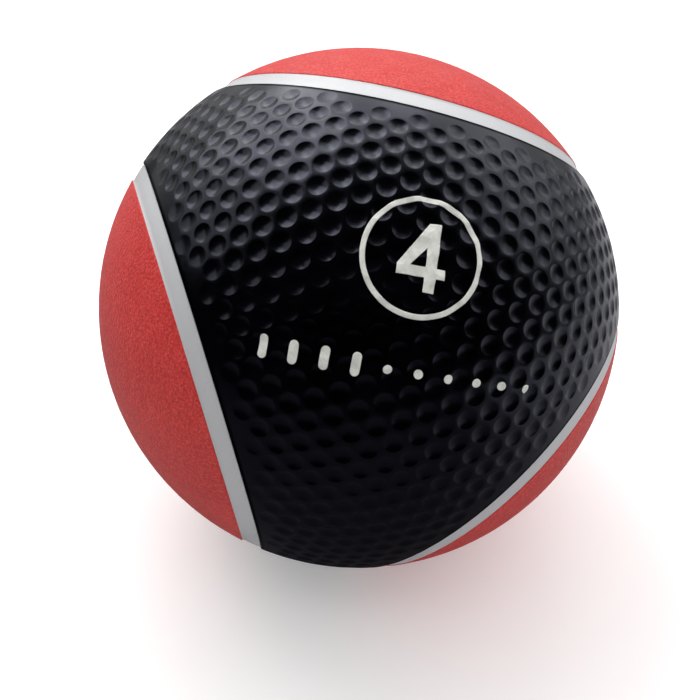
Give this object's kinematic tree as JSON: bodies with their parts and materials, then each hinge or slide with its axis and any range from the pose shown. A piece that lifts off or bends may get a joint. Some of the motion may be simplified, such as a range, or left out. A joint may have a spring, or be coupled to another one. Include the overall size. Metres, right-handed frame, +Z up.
{
  "type": "medicine ball",
  "caption": "Inflatable weighted rubber medicine ball: dimpled black cover between three round pebbled red caps with grey rings, printed weight figure, needle valve at the back.",
  "frame": {"origin": "centre of the ball", "axes": "+Z up, away from what the ball lies on; the printed front pole leans up from -Y, turned a little towards +X"},
  "size_m": [0.23, 0.23, 0.23],
  "materials": {
    "black_rubber": "semi-gloss moulded rubber with dimples",
    "red_rubber": "satin pebbled rubber",
    "silver_rubber": "satin metallic grey rubber",
    "print_ink": "matt light grey ink",
    "weighted_rubber": "matt mineral-filled rubber",
    "nylon_thread": "wound nylon thread set in rubber cement",
    "butyl_rubber": "smooth butyl rubber",
    "valve_rubber": "matt soft rubber",
    "valve_plug": "lubricated soft rubber"
  },
  "bodies": {
    "root": {"front_cover": "black_rubber", "rear_cover": "black_rubber", "red_cap_top": "red_rubber", "red_cap_left": "red_rubber", "red_cap_right": "red_rubber", "silver_ring_top": "silver_rubber", "silver_ring_left": "silver_rubber", "silver_ring_right": "silver_rubber", "numeral_ring": "print_ink", "numeral_four": "print_ink", "weight_scale": "print_ink", "weighted_shell_front": "weighted_rubber", "weighted_shell_rear": "weighted_rubber", "thread_winding": "nylon_thread", "bladder": "butyl_rubber", "valve_housing": "valve_rubber", "valve_insert": "valve_plug"}
  },
  "joints": []
}
